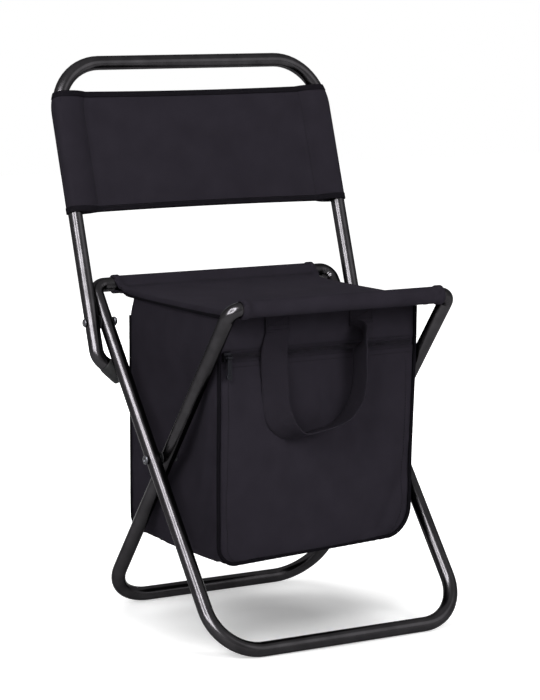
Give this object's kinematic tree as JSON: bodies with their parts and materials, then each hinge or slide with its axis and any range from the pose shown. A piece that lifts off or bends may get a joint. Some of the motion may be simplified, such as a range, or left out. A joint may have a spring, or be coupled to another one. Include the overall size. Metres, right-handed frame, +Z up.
{
  "type": "folding cooler stool",
  "caption": "Folding tube-frame stool with a fabric backrest, a slung fabric seat and an insulated zip-up cooler bag that hangs under the seat between its crossed legs.",
  "frame": {"origin": "on the floor, in the middle of the stool's width and depth", "axes": "+Z up, -Y to the front where the zip and the carry handle are, +X to the right seen from the front"},
  "size_m": [0.365, 0.3526, 0.6162],
  "materials": {
    "painted_tube": "gloss",
    "bright_steel": "satin",
    "black_steel": "satin",
    "black_plastic": "matte",
    "charcoal_cloth": "matte",
    "dark_trim": "matte",
    "webbing": "matte",
    "white_foam": "matte",
    "liner_film": "satin"
  },
  "bodies": {
    "outer_frame": {"outer_frame_tube": "painted_tube", "outer_frame_ferrule": "bright_steel", "leg_pivot_rivet_left": "black_steel", "leg_pivot_rivet_right": "black_steel", "leg_pivot_washer_left": "black_plastic", "leg_pivot_washer_right": "black_plastic", "backrest_bolt_left": "black_steel", "backrest_bolt_right": "black_steel", "backrest_nut_left": "black_steel", "backrest_nut_right": "black_steel", "backrest_washer_left": "black_plastic", "backrest_washer_right": "black_plastic", "seat_rear_sleeve": "charcoal_cloth"},
    "inner_frame": {"inner_frame_tube": "painted_tube", "inner_frame_ferrule": "bright_steel", "seat_front_sleeve": "charcoal_cloth"},
    "backrest": {"backrest_tube": "painted_tube", "backrest_end_cap_left": "black_plastic", "backrest_end_cap_right": "black_plastic", "backrest_panel": "charcoal_cloth"},
    "cooler_bag": {"seat_panel": "charcoal_cloth", "bag_gusset": "charcoal_cloth", "gusset_foam": "white_foam", "cooler_liner": "liner_film", "lid_foam": "white_foam"},
    "bag_front": {"front_panel": "charcoal_cloth", "front_foam": "white_foam", "upper_band": "charcoal_cloth", "front_piping": "dark_trim", "zip_chain": "dark_trim", "handle_end_left": "webbing", "handle_end_right": "webbing"},
    "bag_back": {"back_panel": "charcoal_cloth", "back_foam": "white_foam", "back_piping": "dark_trim"},
    "zip_slider": {"zip_slider": "black_steel"},
    "zip_puller": {"zip_puller": "black_steel"},
    "carry_handle": {"carry_handle": "webbing"}
  },
  "joints": [
    {"name": "fold", "type": "hinge", "parent": "outer_frame", "child": "cooler_bag", "pos_m": [0, -0.02633, 0.19219], "axis": [-1, 0, 0], "range_deg": [0, 31], "deforming": ["seat_panel", "bag_gusset", "gusset_foam", "cooler_liner", "lid_foam"]},
    {"name": "inner_fold", "type": "hinge", "parent": "cooler_bag", "child": "inner_frame", "pos_m": [0, -0.02633, 0.19219], "axis": [-1, 0, 0], "range_deg": [0, 31]},
    {"name": "front_collapse", "type": "slide", "parent": "cooler_bag", "child": "bag_front", "axis": [0, 1, 0], "range_m": [0, 0.0749]},
    {"name": "back_collapse", "type": "slide", "parent": "cooler_bag", "child": "bag_back", "axis": [0, -1, 0], "range_m": [0, 0.0893]},
    {"name": "backrest_fold", "type": "hinge", "parent": "outer_frame", "child": "backrest", "pos_m": [0, 0.07914, 0.329], "axis": [1, 0, 0], "range_deg": [0, 80]},
    {"name": "zip_slide", "type": "slide", "parent": "bag_front", "child": "zip_slider", "axis": [1, 0, 0], "range_m": [0, 0.229]},
    {"name": "puller_swing", "type": "hinge", "parent": "zip_slider", "child": "zip_puller", "pos_m": [-0.11454, -0.12023, 0.3107], "axis": [-1, 0, 0], "range_deg": [0, 120]},
    {"name": "handle_swing", "type": "hinge", "parent": "bag_front", "child": "carry_handle", "pos_m": [0, -0.11663, 0.3357], "axis": [-1, 0, 0], "range_deg": [0, 60]}
  ],
  "couplings": [
    {"joint": "inner_fold", "follows": "fold", "ratio": 1},
    {"joint": "front_collapse", "follows": "fold", "m_per_rad": 0.13825},
    {"joint": "back_collapse", "follows": "fold", "m_per_rad": 0.16495}
  ]
}
